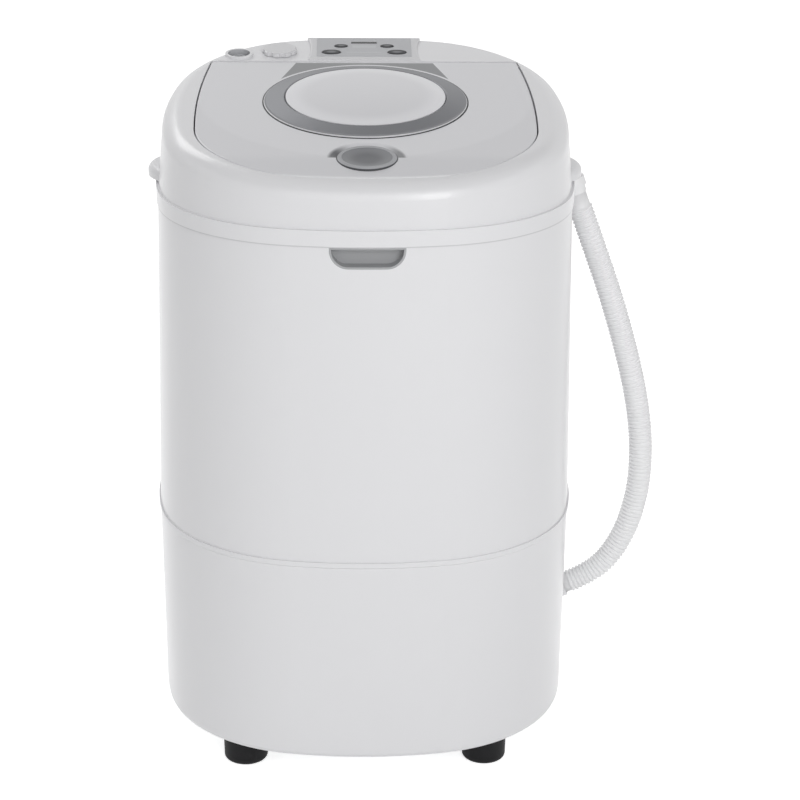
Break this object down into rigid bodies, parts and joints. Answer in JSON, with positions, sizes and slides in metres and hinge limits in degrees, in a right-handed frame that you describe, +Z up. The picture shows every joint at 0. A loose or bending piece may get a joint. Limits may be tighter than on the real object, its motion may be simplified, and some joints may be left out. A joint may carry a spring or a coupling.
{
  "type": "mini washing machine",
  "caption": "Free-standing top-loading mini washing machine with a hinged lid, control console, pulsator tub with belt drive, and a corrugated drain hose.",
  "frame": {"origin": "centre of the cabinet's plan, on the floor under the feet", "axes": "+Z up, +Y to the back, +X to the right seen from the front"},
  "size_m": [0.5095, 0.4136, 0.6514],
  "materials": {
    "shell_white": "smooth, soft gloss",
    "lid_grey": "smooth, soft gloss",
    "ring_grey": "silver-grey lacquer",
    "window_grey": "frosted, domed",
    "latch_silver": "silver lacquer with a bright rim",
    "grip_grey": "fine grain",
    "film_grey": "satin film",
    "key_dark": "satin",
    "display_black": "polished",
    "foot_black": "matte",
    "hose_white": "corrugated, slightly translucent",
    "tub_plastic": "moulded",
    "pulsator_plastic": "moulded",
    "steel": "zinc-plated",
    "motor_paint": "semi-matte",
    "housing_cast": "cast",
    "board_green": "laminate"
  },
  "bodies": {
    "cabinet": {"base_skirt": "shell_white", "cabinet_shell": "shell_white", "trim_band": "shell_white", "top_cap": "shell_white", "lid_tray": "shell_white", "mouth_collar": "shell_white", "side_handle_left": "shell_white", "side_handle_right": "shell_white", "control_console": "shell_white", "inlet_spigot": "shell_white", "grip_insert": "grip_grey", "control_overlay": "film_grey", "display_window": "display_black", "feet": "foot_black", "motor_mounts": "foot_black", "drive_belt": "foot_black", "tub_seal": "foot_black", "shaft_seal": "foot_black", "drain_hose": "hose_white", "hose_cuff": "hose_white", "hose_holder": "hose_white", "drain_outlet": "hose_white", "drain_elbow": "hose_white", "wash_tub": "tub_plastic", "drain_grate": "tub_plastic", "inlet_valve": "tub_plastic", "level_switch": "tub_plastic", "base_plate": "tub_plastic", "cord_gland": "pulsator_plastic", "motor_bolts": "steel", "foot_screws": "steel", "hinge_pins": "steel", "hose_clamp": "steel", "shaft_bearings": "steel", "motor_body": "motor_paint", "motor_plate": "motor_paint", "bearing_housing": "housing_cast", "capacitor": "housing_cast", "control_board": "board_green"},
    "lid": {"lid_panel": "lid_grey", "lid_ring": "ring_grey", "lid_window": "window_grey", "hinge_inlay": "ring_grey"},
    "latch": {"latch_button": "latch_silver"},
    "knob": {"level_knob": "shell_white"},
    "wash_drive": {"pulsator": "pulsator_plastic", "pulsator_cap": "pulsator_plastic", "drive_shaft": "steel", "driven_pulley": "pulsator_plastic", "pulley_nut": "steel"},
    "motor_rotor": {"motor_shaft": "steel", "motor_pulley": "pulsator_plastic"},
    "button_power_cap": {"button_power": "key_dark"},
    "button_start_cap": {"button_start": "key_dark"},
    "button_program_cap": {"button_program": "key_dark"},
    "button_time_cap": {"button_time": "key_dark"}
  },
  "joints": [
    {"name": "lid_hinge", "type": "hinge", "parent": "cabinet", "child": "lid", "pos_m": [0, 0.11387, 0.63596], "axis": [-1, 0, 0], "range_deg": [0, 95]},
    {"name": "latch_press", "type": "slide", "parent": "lid", "child": "latch", "axis": [0, 0.1323, -0.9912], "range_m": [0, 0.003], "stiffness_N_per_m": 400},
    {"name": "knob_turn", "type": "hinge", "parent": "cabinet", "child": "knob", "pos_m": [-0.085, 0.14333, 0.64655], "axis": [0, -0.1323, 0.9912], "range_deg": [-135, 135]},
    {"name": "wash_spin", "type": "hinge", "parent": "cabinet", "child": "wash_drive", "pos_m": [0, -0.025, 0.23], "axis": [0, 0, 1], "continuous": true},
    {"name": "motor_spin", "type": "hinge", "parent": "cabinet", "child": "motor_rotor", "pos_m": [-0.05984, 0.08475, 0.1], "axis": [0, 0, 1], "continuous": true},
    {"name": "button_power_press", "type": "slide", "parent": "cabinet", "child": "button_power_cap", "axis": [0, 0.1702, -0.9854], "range_m": [0, 0.0012], "stiffness_N_per_m": 600},
    {"name": "button_start_press", "type": "slide", "parent": "cabinet", "child": "button_start_cap", "axis": [0, 0.1702, -0.9854], "range_m": [0, 0.0012], "stiffness_N_per_m": 600},
    {"name": "button_program_press", "type": "slide", "parent": "cabinet", "child": "button_program_cap", "axis": [0, 0.1702, -0.9854], "range_m": [0, 0.0012], "stiffness_N_per_m": 600},
    {"name": "button_time_press", "type": "slide", "parent": "cabinet", "child": "button_time_cap", "axis": [0, 0.1702, -0.9854], "range_m": [0, 0.0012], "stiffness_N_per_m": 600}
  ],
  "couplings": [
    {"joint": "motor_spin", "follows": "wash_spin", "ratio": 5.5}
  ]
}
